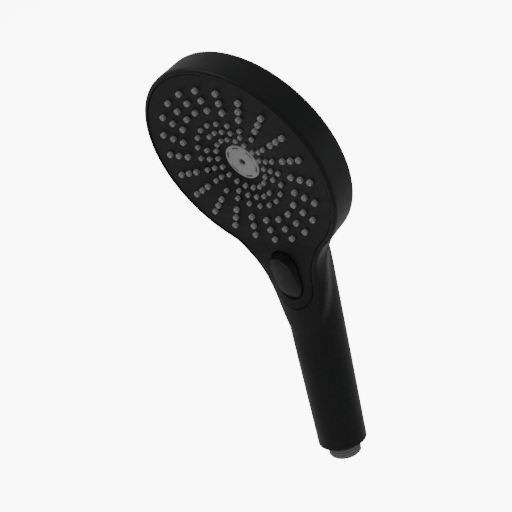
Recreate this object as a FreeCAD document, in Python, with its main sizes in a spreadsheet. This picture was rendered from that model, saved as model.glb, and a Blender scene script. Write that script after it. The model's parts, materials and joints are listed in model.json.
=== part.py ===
import FreeCAD, Part
import math
import os

import Sketcher
from FreeCAD import Placement, Rotation, Vector

# Handheld shower head: a dished round spray face, a select button on the neck and a round handle that
# ends in a G1/2 hose thread.
# Row frame: origin at the centre of the thread's end face, +Z up the handle's axis, spray towards -Y.
# Head frame: x across, y along the face towards the handle, z out of the spray face (tips at tip_level).
# Neck frame: the same, tilted so that its y runs down the neck's sloping front (front at neck_level).

DIMENSIONS = {
    # frame
    "handle_tilt": 18.42,        # degrees between handle axis and spray face
    "neck_slope": 15.64,         # degrees between neck front and spray face
    "handle_top": 105.6,         # row height of the handle's upper station
    "station_along": 107.0,      # that station in the head frame
    "station_level": 32.37,
    "tip_level": 36.0,
    "neck_level": 36.0,
    "opening_along": 77.45,      # head-frame place of the button opening's centre
    "opening_level": 39.67,
    "opening_run": 20.0,         # the same centre along the neck frame's y
    # housing
    "rim_radius": 67.5,
    "rim_level": 35.1,
    "back_level": 15.0,
    "dome_radius": 177.6,
    "dome_level": 2.0,
    "wall": 2.5,
    "outer_neck_arc": 52.0,
    "outer_cap_radius": 18.6,
    "outer_cap_along": 85.0,
    "cavity_radius": 62.0,
    "inner_neck_arc": 56.4,
    "inner_cap_radius": 14.4,
    "handle_end": 9.7,
    "handle_end_radius": 15.68,
    "handle_top_radius": 17.28,
    "handle_bore": 11.0,
    # face plate
    "seam_radius": 64.2,
    "neck_arc": 54.0,
    "cap_radius": 16.8,
    "recess_radius": 64.5,       # the housing's side of the seam
    "recess_neck_arc": 53.7,
    "recess_cap_radius": 17.1,
    "cap_along": 82.6,
    "plate_level": 34.5,
    "plate_thickness": 2.5,
    "bend_along": 59.0,
    "dish_radius": 55.0,
    "dish_mid_radius": 33.0,
    "dish_mid_level": 32.5,
    "dish_hole_radius": 12.1,
    "dish_hole_level": 29.0,
    "opening_radius": 10.6,
    "opening_half": 5.7,
    # nozzles
    "large_radius": 1.8,
    "large_hole": 1.95,
    "small_radius": 1.48,
    "small_hole": 1.63,
    "jet_radius": 0.38,
    "rain_floor": 29.0,
    "rain_inner": 36.6,
    "rain_outer": 57.4,
    "soft_floor": 25.4,
    "soft_inner": 14.4,
    "soft_outer": 34.0,
    "mat_thickness": 1.2,
    # spray engine
    "chamber_floor": 18.5,
    "chamber_base": 2.0,
    "outer_wall_radius": 60.4,
    "middle_wall_radius": 36.2,
    "inner_wall_radius": 14.2,
    "disc_radius": 11.9,
    "disc_level": 29.4,
    "disc_thickness": 1.8,
    "skirt_radius": 11.8,
    "axle_radius": 1.5,
    "running_fit": 0.06,
    "manifold_floor": 13.0,
    "manifold_radius": 48.0,
    "gasket_thickness": 1.0,
    "bolt_circle": 42.0,
    "rain_circle": 46.0,
    "soft_circle": 24.0,
    "eye_radius": 2.26,
    # button and valve, in the neck frame
    "button_clearance": 0.35,
    "button_rise": 6.0,
    "pivot_run": 33.5,
    "pivot_level": 32.2,
    "pin_radius": 1.0,
    "lug_radius": 2.2,
    "lug_half": 4.0,
    "valve_run": 16.0,
    "valve_radius": 11.0,
    "valve_bore": 8.0,
    "plunger_radius": 2.5,
    "port_circle": 4.8,
    "port_radius": 1.6,
    "cap_bolt_circle": 9.5,
    # handle
    "thread_radius": 10.4775,
    "thread_root": 9.3155,
    "thread_pitch": 1.814,
    "connector_radius": 10.9,
    "inlet_radius": 7.5,
    "tube_radius": 6.0,
    "tube_bore": 4.5,
}

RAIN_RINGS = ((53.5, 36.0), (46.5, 35.67), (39.5, 35.14))
SOFT_OUTER_RING = (29.57, 33.97)
SOFT_MIDDLE_RING = (23.48, 33.03)
SOFT_INNER_RING = (17.38, 31.96)
SPOKES = 22
INNER_SPOKES = 18
MIDDLE_RING_GAPS = (3, 8, 14, 19)    # spokes, counted from the handle, with no middle-ring nozzle
THREAD_TURNS = 5

doc = FreeCAD.newDocument("HandShower")
sheet = doc.addObject("Spreadsheet::Sheet", "Dims")
for row, (alias, value) in enumerate(DIMENSIONS.items(), start=1):
    sheet.set(f"A{row}", alias)
    sheet.set(f"B{row}", str(value))
    sheet.setAlias(f"B{row}", alias)
doc.recompute()

nodes = []


def dim(alias):
    return float(sheet.get(alias))


def bind(obj, expressions):
    for path, expression in expressions.items():
        obj.setExpression(path, expression.replace("$", "Dims."))


def primitive(kind, name, at=("0", "0", "0"), turn=None, **sizes):
    """A Part primitive whose sizes and place are expressions; $ stands for the dimension sheet."""
    obj = doc.addObject(f"Part::{kind}", name)
    if turn:
        obj.Placement.Rotation = Rotation(*turn)
    places = {f"Placement.Base.{axis}": text for axis, text in zip("xyz", at)}
    bind(obj, {**sizes, **places})
    return obj


def cylinder(name, radius, low, high, x="0", y="0", turn=None):
    return primitive("Cylinder", name, (x, y, low), turn, Radius=radius, Height=f"({high}) - ({low})")


def across(name, radius, half_width, y, z):
    """A cylinder that runs across the part, centred on x = 0."""
    turn = (Vector(0, 1, 0), 90)
    return primitive("Cylinder", name, (f"-({half_width})", y, z), turn,
                     Radius=radius, Height=f"2 * ({half_width})")


def box(name, x, y, z):
    """A box between pairs of expressions."""
    sizes = {side: f"({pair[1]}) - ({pair[0]})"
             for side, pair in zip(("Length", "Width", "Height"), (x, y, z))}
    return primitive("Box", name, (x[0], y[0], z[0]), **sizes)


def ring(name, major, minor, level, x="0", y="0"):
    return primitive("Torus", name, (x, y, level), Radius1=major, Radius2=minor)


def fuse(name, *parts):
    obj = doc.addObject("Part::MultiFuse", name)
    obj.Shapes = list(parts)
    return obj


def cut(name, base, *tools):
    obj = doc.addObject("Part::Cut", name)
    obj.Base = base
    obj.Tool = tools[0] if len(tools) == 1 else fuse(f"{name}Tools", *tools)
    return obj


def common(name, first, second):
    obj = doc.addObject("Part::Common", name)
    obj.Base = first
    obj.Tool = second
    return obj


def tube(name, outer, inner, low, high, x="0", y="0"):
    return cut(name, cylinder(f"{name}Outside", outer, low, high, x, y),
               cylinder(f"{name}Inside", inner, f"{low} - 1", f"{high} + 1", x, y))


def polar(name, make, count, start=0.0):
    """Fuse of make(index, x, y) for unit vectors evenly spaced about the frame's z axis."""
    made = []
    for index in range(count):
        angle = math.radians(start + 360.0 * index / count)
        made.append(make(f"{name}{index}", math.cos(angle), math.sin(angle)))
    return fuse(name, *made)


def on_circle(circle, cosine, sine, middle="0"):
    """Expressions for a point on a circle in the x-y plane."""
    return f"{circle} * {cosine}", f"{middle} + {circle} * {sine}"


def holes_on(name, circle, radius, low, high, count=6, start=0.0, middle="0"):
    """Equal upright cylinders spaced evenly on a circle."""
    def hole(part, cosine, sine):
        return cylinder(part, radius, low, high, *on_circle(circle, cosine, sine, middle))

    return polar(name, hole, count, start)


def placed(name, obj, frame):
    """The object carried into another frame by a holder of its own."""
    holder = doc.addObject("Part::Compound", name)
    holder.Links = [obj]
    holder.Placement = frame
    return holder


def node(label, obj, frame=Placement()):
    """A finished subcomponent: its label is the name of its file."""
    holder = placed(f"{label}_node", obj, frame)
    holder.Label = label
    nodes.append(holder)


# ---- frames ----------------------------------------------------------------------------------------

tilt = math.radians(dim("handle_tilt"))
lean = math.radians(dim("handle_tilt") - dim("neck_slope"))
face_down = Vector(0, math.sin(tilt), -math.cos(tilt))
face_out = Vector(0, -math.cos(tilt), -math.sin(tilt))
neck_down = Vector(0, math.sin(lean), -math.cos(lean))
neck_out = Vector(0, -math.cos(lean), -math.sin(lean))
station = Vector(0, 0, dim("handle_top"))
head_origin = station - face_down * dim("station_along") - face_out * dim("station_level")
opening_centre = (head_origin + face_down * dim("opening_along") + face_out * dim("opening_level"))
neck_origin = opening_centre - neck_down * dim("opening_run") - neck_out * dim("neck_level")
HEAD = Placement(head_origin, Rotation(Vector(-1, 0, 0), face_down, face_out, "ZYX"))
NECK = Placement(neck_origin, Rotation(Vector(-1, 0, 0), neck_down, neck_out, "ZYX"))
NECK_IN_HEAD = HEAD.inverse().multiply(NECK)
ROW_IN_HEAD = HEAD.inverse()
ROW_IN_NECK = NECK.inverse()


# ---- sketches --------------------------------------------------------------------------------------

def body_of(name):
    return doc.addObject("PartDesign::Body", name)


def sketch_on(body, role, name, offset=None):
    sketch = body.newObject("Sketcher::SketchObject", name)
    plane = next(f for f in body.Origin.OriginFeatures if f.Role == role)
    sketch.AttachmentSupport = [(plane, "")]
    sketch.MapMode = "FlatFace"
    if offset:
        bind(sketch, {"AttachmentOffset.Base.z": offset})
    return sketch


def polygon(sketch, points):
    """Closed straight-sided loop."""
    corners = [Vector(u, v, 0) for u, v in points]
    for start, end in zip(corners, corners[1:] + corners[:1]):
        sketch.addGeometry(Part.LineSegment(start, end), False)


def pear_outline(sketch, head, neck, cap, along):
    """Round head, two concave neck arcs and a round cap, tangent all round; arguments are aliases."""
    big, hollow, small, reach = dim(head), dim(neck), dim(cap), dim(along)
    centre_y = (reach**2 + (big + hollow)**2 - (small + hollow)**2) / (2 * reach)
    centre_x = math.sqrt((big + hollow)**2 - centre_y**2)
    head_turn = math.atan2(centre_y, centre_x)
    cap_turn = math.atan2(centre_y - reach, centre_x)

    def arc(x, y, radius, start, end):
        circle = Part.Circle(Vector(x, y, 0), Vector(0, 0, 1), radius)
        return sketch.addGeometry(Part.ArcOfCircle(circle, start, end), False)

    head_arc = arc(0, 0, big, math.pi - head_turn, head_turn + 2 * math.pi)
    right = arc(centre_x, centre_y, hollow, cap_turn + math.pi, head_turn + math.pi)
    cap_arc = arc(0, reach, small, cap_turn, math.pi - cap_turn)
    left = arc(-centre_x, centre_y, hollow, -head_turn, -cap_turn)
    add = sketch.addConstraint
    add(Sketcher.Constraint("Tangent", head_arc, 2, right, 2))
    add(Sketcher.Constraint("Tangent", right, 1, cap_arc, 1))
    add(Sketcher.Constraint("Tangent", cap_arc, 2, left, 2))
    add(Sketcher.Constraint("Tangent", left, 1, head_arc, 1))
    add(Sketcher.Constraint("Coincident", head_arc, 3, -1, 1))
    add(Sketcher.Constraint("PointOnObject", cap_arc, 3, -2))
    sized = {
        head: add(Sketcher.Constraint("Radius", head_arc, big)),
        neck: add(Sketcher.Constraint("Radius", right, hollow)),
        cap: add(Sketcher.Constraint("Radius", cap_arc, small)),
        along: add(Sketcher.Constraint("DistanceY", -1, 1, cap_arc, 3, reach)),
    }
    add(Sketcher.Constraint("Equal", right, left))
    bind(sketch, {f"Constraints[{number}]": f"${alias}" for alias, number in sized.items()})


def feature(body, kind, name, sketch, **settings):
    obj = body.newObject(f"PartDesign::{kind}", name)
    obj.Profile = sketch
    for key, value in settings.items():
        if isinstance(value, str) and value.startswith("="):
            bind(obj, {key: value[1:]})
        else:
            setattr(obj, key, value)
    return obj


def circles(sketch, radius, centres):
    """Equal circles at given centres, their radius bound to the dimension sheet."""
    numbers = []
    for u, v in centres:
        circle = Part.Circle(Vector(u, v, 0), Vector(0, 0, 1), dim(radius))
        numbers.append(sketch.addGeometry(circle, False))
    first = sketch.addConstraint(Sketcher.Constraint("Radius", numbers[0], dim(radius)))
    for number in numbers[1:]:
        sketch.addConstraint(Sketcher.Constraint("Equal", numbers[0], number))
    bind(sketch, {f"Constraints[{first}]": f"${radius}"})


def ring_centres(radius, spokes, gaps=()):
    """Nozzle centres on one ring; spoke 0 lies on the side of the handle."""
    return [(radius * math.sin(2 * math.pi * k / spokes), radius * math.cos(2 * math.pi * k / spokes))
            for k in range(spokes) if k not in gaps]


RAIN_NOZZLES = [(ring_centres(radius, SPOKES), tip) for radius, tip in RAIN_RINGS]
SOFT_NOZZLES = [
    (ring_centres(SOFT_OUTER_RING[0], SPOKES), SOFT_OUTER_RING[1]),
    (ring_centres(SOFT_MIDDLE_RING[0], SPOKES, MIDDLE_RING_GAPS), SOFT_MIDDLE_RING[1]),
    (ring_centres(SOFT_INNER_RING[0], INNER_SPOKES), SOFT_INNER_RING[1]),
]


def side_profile(top, bottom, slope_start, front, back):
    """Side view of a sheet that is flat over the head and slopes up along the neck."""
    rise = math.tan(math.radians(dim("neck_slope")))

    def lifted(along, level):
        return (along, level + max(0.0, along - slope_start) * rise)

    return [lifted(-front, top), (slope_start, top), lifted(back, top),
            lifted(back, bottom), (slope_start, bottom), lifted(-front, bottom)]


def prism_of(name, outline, low, high):
    """Pad of a pear-shaped outline between two levels."""
    body = body_of(name)
    sketch = sketch_on(body, "XY_Plane", f"{name}Outline", low)
    pear_outline(sketch, *outline)
    feature(body, "Pad", f"{name}Pad", sketch, Length=f"=({high}) - ({low})")
    return body


def slab_of(name, points, half_width=90.0):
    """Side-view polygon (along, level) extruded across the part."""
    body = body_of(name)
    sketch = sketch_on(body, "YZ_Plane", f"{name}Profile")
    polygon(sketch, points)
    feature(body, "Pad", f"{name}Pad", sketch, Length=2 * half_width, Midplane=True)
    return body


# ---- housing ---------------------------------------------------------------------------------------

OUTER_OUTLINE = ("rim_radius", "outer_neck_arc", "outer_cap_radius", "outer_cap_along")
SEAM_OUTLINE = ("seam_radius", "neck_arc", "cap_radius", "cap_along")
GAP_OUTLINE = ("recess_radius", "recess_neck_arc", "recess_cap_radius", "cap_along")
INNER_OUTLINE = ("cavity_radius", "inner_neck_arc", "inner_cap_radius", "cap_along")


def in_head(axis_along, axis_level, pitch):
    """Placement of a section whose normal leans pitch degrees from the head's y towards its z."""
    turn = Rotation(Vector(1, 0, 0), pitch - 90)
    return Placement(Vector(0, axis_along, axis_level), turn)


def neck_loft():
    """Round neck that carries the handle's section up into the back of the head."""
    top = dim("station_along"), dim("station_level"), dim("handle_tilt"), dim("handle_top_radius")
    stations = (top, (85.0, 25.0, 18.0, 17.9), (66.0, 20.6, 9.5, 18.2), (48.0, 19.3, 0.0, 17.9),
                (32.0, 20.9, -9.0, 16.2), (18.0, 25.0, -18.0, 13.0))
    sections = []
    for number, (along, level, pitch, radius) in enumerate(stations):
        circle = doc.addObject("Part::Circle", f"NeckSection{number}")
        circle.Radius = radius
        circle.Placement = in_head(along, level, pitch)
        sections.append(circle)
    loft = doc.addObject("Part::Loft", "NeckLoft")
    loft.Sections = sections
    loft.Solid = True
    return loft


def housing():
    rim = common("RimWall", prism_of("RimPrism", OUTER_OUTLINE, "0", "60"), slab_of("RimSide", [
        (-80, dim("back_level")), (45, dim("back_level")), (95, dim("rim_level")),
        *side_profile(dim("rim_level"), 0, dim("bend_along"), 80, 108)[2::-1]]))
    shell_ball = primitive("Sphere", "DomeBall", ("0", "0", "$dome_level + $dome_radius"),
                           Radius="$dome_radius")
    dome = common("Dome", shell_ball, cylinder("DomeTrim", "$rim_radius - 0.8", "0", "$rim_level - 3"))
    handle = primitive("Cone", "HandleCone", ("0", "0", "$handle_end"), Radius1="$handle_end_radius",
                       Radius2="$handle_top_radius", Height="$handle_top - $handle_end")
    grip = fuse("Grip", handle, cylinder("GripCore", "$handle_bore", "$handle_end", "$handle_top"))
    outside = fuse("HousingOutside", rim, dome, neck_loft(), placed("GripPlaced", grip, ROW_IN_HEAD))

    recess = common("PlateRecess", prism_of("RecessPrism", GAP_OUTLINE, "20", "70"),
                    slab_of("RecessSide", side_profile(70, dim("plate_level") - dim("plate_thickness"),
                                                       dim("bend_along"), 80, 112)))
    ledge = common("PlateLedge", prism_of("LedgePrism", INNER_OUTLINE, "10", "70"),
                   slab_of("LedgeSide", side_profile(70, 22.5, dim("bend_along"), 80, 112)))
    ball = primitive("Sphere", "CavityBall", ("0", "0", "$dome_level + $dome_radius"),
                     Radius="$dome_radius - $wall")
    cavity = common("HeadCavity", ball, cylinder("CavityTrim", "$cavity_radius", "0", "$plate_level"))
    passage = box("NeckPassage", ("-11", "11"), ("45", "70"), ("11", "32"))
    well = fuse("ValveWell", cylinder("WellCut", "$valve_radius + 0.5", "8.2", "$neck_level - 1",
                                      y="$valve_run"),
                box("OutletWell", ("-9.5", "9.5"), ("-4", "$valve_run"), ("8.2", "22")))
    bore = fuse("HandleBore", cylinder("BoreCut", "$handle_bore", "$handle_end - 1", "$handle_top + 25"),
                cylinder("RingGroove", "$handle_bore + 0.6", "26", "27.4"),
                cylinder("HandleHollow", "$handle_bore + 2.4", "42", "112"))
    shell = cut("HousingShell", outside, recess, ledge, cavity, passage,
                placed("ValveWellPlaced", well, NECK_IN_HEAD), placed("HandleBorePlaced", bore, ROW_IN_HEAD))
    node("housing", shell, HEAD)


# ---- spray face ------------------------------------------------------------------------------------

def face_plate():
    """Dished plate whose tongue bends up along the neck, with the nozzle, disc and button openings."""
    top = dim("plate_level")
    bottom = top - dim("plate_thickness")
    bend = dim("bend_along")
    body = body_of("FacePlate")
    outline = sketch_on(body, "XY_Plane", "PlateOutline", "22")
    pear_outline(outline, *SEAM_OUTLINE)
    feature(body, "Pad", "PlateBlank", outline, Length="=30")
    for name, points in (("PlateFront", side_profile(80, top, bend, 90, 112)),
                         ("PlateBack", side_profile(bottom, 0, bend, 90, 112))):
        side = sketch_on(body, "YZ_Plane", f"{name}Side")
        polygon(side, points)
        feature(body, "Pocket", f"{name}Trim", side, Type=1, Midplane=True)
    middle = sketch_on(body, "XY_Plane", "DishOpening")
    circles(middle, "dish_radius", [(0, 0)])
    feature(body, "Pocket", "DishCut", middle, Type=1, Midplane=True)

    dish = sketch_on(body, "XZ_Plane", "DishProfile")
    thick = dim("plate_thickness")
    edge = (dim("dish_radius") + 0.01, top)
    middle_point = (dim("dish_mid_radius"), dim("dish_mid_level"))
    inner = (dim("dish_hole_radius"), dim("dish_hole_level"))
    outer_bow, inner_bow = (45.0, 33.8), (22.5, 31.1)

    def flat(point, drop=0.0):
        return Vector(point[0], point[1] - drop, 0)

    for drop in (0.0, thick):
        dish.addGeometry(Part.Arc(flat(edge, drop), flat(outer_bow, drop), flat(middle_point, drop)), False)
        dish.addGeometry(Part.Arc(flat(middle_point, drop), flat(inner_bow, drop), flat(inner, drop)), False)
    for point in (edge, inner):
        dish.addGeometry(Part.LineSegment(flat(point), flat(point, thick)), False)
    turned = feature(body, "Revolution", "Dish", dish)
    turned.ReferenceAxis = (dish, ["V_Axis"])

    large = sketch_on(body, "XY_Plane", "LargeHoles")
    circles(large, "large_hole", [centre for centres, _ in RAIN_NOZZLES for centre in centres])
    feature(body, "Pocket", "LargeHoleCut", large, Type=1, Midplane=True)
    small = sketch_on(body, "XY_Plane", "SmallHoles")
    circles(small, "small_hole", [centre for centres, _ in SOFT_NOZZLES for centre in centres])
    feature(body, "Pocket", "SmallHoleCut", small, Type=1, Midplane=True)

    opening = button_prism("ButtonOpening", "$opening_radius", "20", "50")
    opened = cut("PlateOpened", body, placed("ButtonOpeningPlaced", opening, NECK_IN_HEAD))
    blocks = cut("PinEarPair", box("PinEarBlock", ("-10", "10"), ("$pivot_run - 2.4", "$pivot_run + 2.4"),
                                   ("$pivot_level - 2.6", "$neck_level - 1.5")),
                 box("PinEarGap", ("-7.3", "7.3"), ("20", "50"), ("20", "50")),
                 across("PinHole", "$pin_radius", "12", "$pivot_run", "$pivot_level"))
    ears = placed("PinEars", blocks, NECK_IN_HEAD)
    node("face_plate", fuse("PlateWithEars", opened, ears), HEAD)


def button_prism(name, radius, low, high):
    """Stadium-shaped block in the neck frame, centred on the button opening."""
    run = "$opening_run"
    half = "$opening_half"
    return fuse(name, cylinder(f"{name}Upper", radius, low, high, y=f"{run} - {half}"),
                cylinder(f"{name}Lower", radius, low, high, y=f"{run} + {half}"),
                box(f"{name}Middle", (f"-({radius})", radius), (f"{run} - {half}", f"{run} + {half}"),
                    (low, high)))


def nozzle_mat(label, floor, inner, outer, radius, rings):
    """Silicone sheet with its nozzles, each bored through and rounded at the tip."""
    body = body_of(f"{label}Body")
    base = sketch_on(body, "XY_Plane", f"{label}Sheet", f"${floor}")
    circles(base, outer, [(0, 0)])
    hole = base.addGeometry(Part.Circle(Vector(0, 0, 0), Vector(0, 0, 1), dim(inner)), False)
    number = base.addConstraint(Sketcher.Constraint("Radius", hole, dim(inner)))
    bind(base, {f"Constraints[{number}]": f"${inner}"})
    feature(body, "Pad", f"{label}Mat", base, Length="=Dims.mat_thickness")
    for index, (centres, tip) in enumerate(rings):
        stems = sketch_on(body, "XY_Plane", f"{label}Ring{index}", f"${floor} + $mat_thickness / 2")
        circles(stems, radius, centres)
        feature(body, "Pad", f"{label}Stems{index}", stems,
                Length=f"={tip} - Dims.{floor} - Dims.mat_thickness / 2")
    bores = sketch_on(body, "XY_Plane", f"{label}Bores")
    circles(bores, "jet_radius", [centre for centres, _ in rings for centre in centres])
    feature(body, "Pocket", f"{label}BoreCut", bores, Type=1, Midplane=True)
    doc.recompute()
    levels = [tip for _, tip in rings]
    stem_radius = dim(radius)

    def is_tip(edge):
        curve = edge.Curve
        on_tip = isinstance(curve, Part.Circle) and abs(curve.Radius - stem_radius) < 1e-4
        return on_tip and min(abs(curve.Center.z - level) for level in levels) < 1e-3

    pocket = body.Tip
    names = [f"Edge{n}" for n, edge in enumerate(pocket.Shape.Edges, start=1) if is_tip(edge)]
    rounding = body.newObject("PartDesign::Fillet", f"{label}Tips")
    rounding.Base = (pocket, names)
    rounding.Radius = 0.35
    node(label, body, HEAD)


def spray_disc():
    """Centre insert with six arc slots, standing on the jet plate by its skirt."""
    disc = cylinder("DiscTop", "$disc_radius", "$disc_level - $disc_thickness", "$disc_level")
    skirt = tube("DiscSkirt", "$skirt_radius", "$skirt_radius - 1", "22",
                 "$disc_level - $disc_thickness + 0.5")
    eye = cylinder("DiscEye", "$eye_radius", "$disc_level - 1.2", "$disc_level + 1")

    def slot(name, cosine, sine):
        angle = math.degrees(math.atan2(sine, cosine))
        sector = primitive("Cylinder", f"{name}Sector", ("0", "0", "$disc_level - 3"),
                           (Vector(0, 0, 1), angle - 13), Radius="10.4", Height="5", Angle="26")
        return cut(f"{name}Arc", sector, cylinder(f"{name}Core", "9.5", "20", "40"))

    slots = polar("DiscSlots", slot, 6, 30)
    node("spray_disc", cut("Disc", fuse("DiscBlank", disc, skirt), eye, slots), HEAD)


def distributor():
    """Chamber tray: a floor with three ring walls that divides the water between the spray modes."""
    floor_top = "$chamber_floor + $chamber_base"
    tray = fuse("Tray", cylinder("TrayFloor", "$outer_wall_radius", "$chamber_floor", floor_top),
                tube("OuterWall", "$outer_wall_radius", "$outer_wall_radius - 1.6", "$chamber_floor", "31.9"),
                tube("MiddleWall", "$middle_wall_radius", "$middle_wall_radius - 1.7", "$chamber_floor",
                     "$rain_floor"),
                tube("InnerWall", "$inner_wall_radius", "$inner_wall_radius - 1.6", "$chamber_floor",
                     "$soft_floor"))
    seal_groove = tube("TraySealGroove", "$outer_wall_radius + 1", "$outer_wall_radius - 0.6",
                       "23.8", "26.2")
    bosses = holes_on("TrayBoss", "$bolt_circle", "3", "$chamber_floor", "27.5", start=30)
    ports = [
        holes_on("RainPort", "$rain_circle", "3", "15", "21"),
        holes_on("SoftPort", "$soft_circle", "2.5", "15", "21"),
        cylinder("CentrePort", "4", "15", "21"),
        holes_on("TrayPilot", "$bolt_circle", "1.2", "15", "26", start=30),
    ]
    node("distributor", cut("Distributor", fuse("TrayBlank", tray, bosses), seal_groove, *ports), HEAD)


def manifold_and_gasket():
    """Channel plate behind the tray, with the gasket that seals it."""
    gasket_low = "$chamber_floor - $gasket_thickness"
    ports = [
        holes_on("GasketRain", "($rain_circle - 3.2)", "3.2", "15", "20"),
        holes_on("GasketSoft", "$soft_circle", "2.7", "15", "20"),
        cylinder("GasketCentre", "4.2", "15", "20"),
        holes_on("GasketScrews", "$bolt_circle", "1.6", "15", "20", start=30),
    ]
    sheet_disc = cylinder("GasketSheet", "$manifold_radius - 0.5", gasket_low, "$chamber_floor")
    node("manifold_gasket", cut("Gasket", sheet_disc, *ports), HEAD)

    plate = cylinder("ManifoldPlate", "$manifold_radius", "$manifold_floor", gasket_low)
    tongue = box("ManifoldTongue", ("-10", "10"), ("40", "57"), ("$manifold_floor", gasket_low))
    channels = [
        tube("RainChannel", "$rain_circle", "$rain_circle - 6", "15", "20"),
        tube("SoftChannel", "$soft_circle + 3", "$soft_circle - 3", "15", "20"),
        box("RainFeed", ("5", "9"), ("42", "58"), ("15", "17")),
        box("SoftFeed", ("-9", "-5"), ("23", "58"), ("14", "16.4")),
        box("CentreFeed", ("-2", "2"), ("0", "58"), ("14", "16.4")),
        holes_on("ManifoldScrews", "$bolt_circle", "1.6", "12", "20", start=30),
    ]
    node("manifold", cut("Manifold", fuse("ManifoldBlank", plate, tongue), *channels), HEAD)


def engine_screws():
    """Six pan-head screws that pull manifold, gasket and tray together."""
    def screw(name, cosine, sine):
        x, y = on_circle("$bolt_circle", cosine, sine)
        head_part = cylinder(f"{name}Head", "2.4", "11.6", "$manifold_floor", x, y)
        shank = cylinder(f"{name}Shank", "1.2", "12", "24", x, y)
        recess = box(f"{name}Slot", (f"{x} - 0.3", f"{x} + 0.3"), (f"{y} - 1.8", f"{y} + 1.8"),
                     ("11", "12.2"))
        return cut(name, fuse(f"{name}Body", head_part, shank), recess)

    node("engine_screws", polar("EngineScrew", screw, 6, 30), HEAD)


def massage_drive():
    """Jet plate, axle and the half-shuttered turbine wheel that pulses the centre jet."""
    base = "$chamber_floor + $chamber_base"
    jet_plate = fuse("JetBlank", cylinder("JetDisc", "12.4", base, "21.9"),
                     cylinder("JetHub", "3.2", base, "22.9"))
    jets = polar("Jet", lambda name, c, s: primitive(
        "Cylinder", name, (f"{8.2 * c}", f"{8.2 * s}", "20"), (Vector(c, s, 0), 30),
        Radius="0.9", Height="4"), 6)
    axle_hole = cylinder("AxleHole", "$axle_radius", "20", "24")
    node("jet_plate", cut("JetPlate", jet_plate, jets, axle_hole), HEAD)
    node("turbine_axle", cylinder("Axle", "$axle_radius", base, "27.3"), HEAD)

    blades = polar("Blade", lambda name, c, s: primitive(
        "Box", name, (f"{2.2 * c + 0.4 * s}", f"{2.2 * s - 0.4 * c}", "23.2"),
        (Vector(0, 0, 1), math.degrees(math.atan2(s, c))), Length="8", Width="0.8", Height="3"), 8)
    shutter = primitive("Cylinder", "Shutter", ("0", "0", "26.1"), Radius="10.3", Height="0.8", Angle="180")
    wheel = fuse("WheelBlank", cylinder("WheelHub", "3", "23.2", "26.9"), blades, shutter)
    node("turbine_wheel", cut("Wheel", wheel, cylinder("WheelBore", "$axle_radius + $running_fit",
                                                        "20", "30")), HEAD)


def rim_seal():
    node("rim_seal", ring("RimSeal", "$outer_wall_radius + 0.5", "1.06", "25"), HEAD)


# ---- button and mode valve -------------------------------------------------------------------------

def select_button():
    """Hollow wedge, flush at the handle end and raised towards the head, with its pivot lug."""
    radius = "$opening_radius - $button_clearance"
    run = dim("opening_run")
    half = dim("opening_half")
    body = body_of("ButtonBody")
    blank_profile = sketch_on(body, "XY_Plane", "ButtonOutline", "$neck_level - 4")
    stadium_sketch(blank_profile, dim("opening_radius") - dim("button_clearance"), half, run)
    feature(body, "Pad", "ButtonBlank", blank_profile, Length="=4 + Dims.button_rise")
    side = sketch_on(body, "YZ_Plane", "ButtonTop")
    low_end = run + half + dim("opening_radius")
    high_end = run - half - dim("opening_radius")
    base = dim("neck_level")
    slope = dim("button_rise") / (low_end - high_end - 4)
    polygon(side, [(high_end - 5, base + 0.2 + slope * (low_end - high_end + 5)),
                   (low_end + 2, base + 0.2 - 2 * slope), (low_end + 2, base + 20), (high_end - 5, base + 20)])
    feature(body, "Pocket", "ButtonSlope", side, Type=1, Midplane=True)
    draft = primitive("Cone", "ButtonDraft", ("0", f"{run - half}", "$neck_level"), Radius1=radius,
                      Radius2=f"{radius} - 2.8", Height="7")
    draft_low = primitive("Cone", "ButtonDraftLow", ("0", f"{run + half}", "$neck_level"), Radius1=radius,
                          Radius2=f"{radius} - 2.8", Height="7")
    top = doc.addObject("Part::Loft", "ButtonDraftMiddle")
    sections = []
    for number, (level, shrink) in enumerate(((base, 0.0), (base + 7, 2.8))):
        wide = dim("opening_radius") - dim("button_clearance") - shrink
        frame = doc.addObject("Part::Plane", f"DraftSection{number}")
        frame.Length = 2 * wide
        frame.Width = 2 * half
        frame.Placement.Base = Vector(-wide, run - half, level)
        sections.append(frame)
    top.Sections = sections
    top.Solid = True
    skirt = button_prism("ButtonSkirt", radius, "$neck_level - 4", "$neck_level")
    envelope = fuse("ButtonEnvelope", skirt, draft, draft_low, top)
    solid = common("ButtonSolid", body, envelope)
    hollow = button_prism("ButtonHollow", f"{radius} - 1.8", "20", "$neck_level - 1.9")
    lug = across("LugBarrel", "$lug_radius", "$lug_half", "$pivot_run", "$pivot_level")
    bore = across("LugBore", "$pin_radius + $running_fit", "12", "$pivot_run", "$pivot_level")
    ear_room = cut("EarRoom", box("EarRoomBlock", ("-12", "12"), ("$pivot_run - 3.2", "$pivot_run + 6"),
                                  ("20", "$neck_level - 1")),
                   box("LugKeep", ("-$lug_half", "$lug_half"), ("20", "50"), ("19", "40")))
    foot = cylinder("ButtonFoot", "2", "30.6", "$neck_level - 1", y="$valve_run")
    shell = cut("ButtonShell", solid, hollow, ear_room)
    node("select_button", cut("Button", fuse("ButtonWithLug", shell, lug, foot), bore), NECK)
    node("button_pin", across("Pin", "$pin_radius", "9.8", "$pivot_run", "$pivot_level"), NECK)


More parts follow.
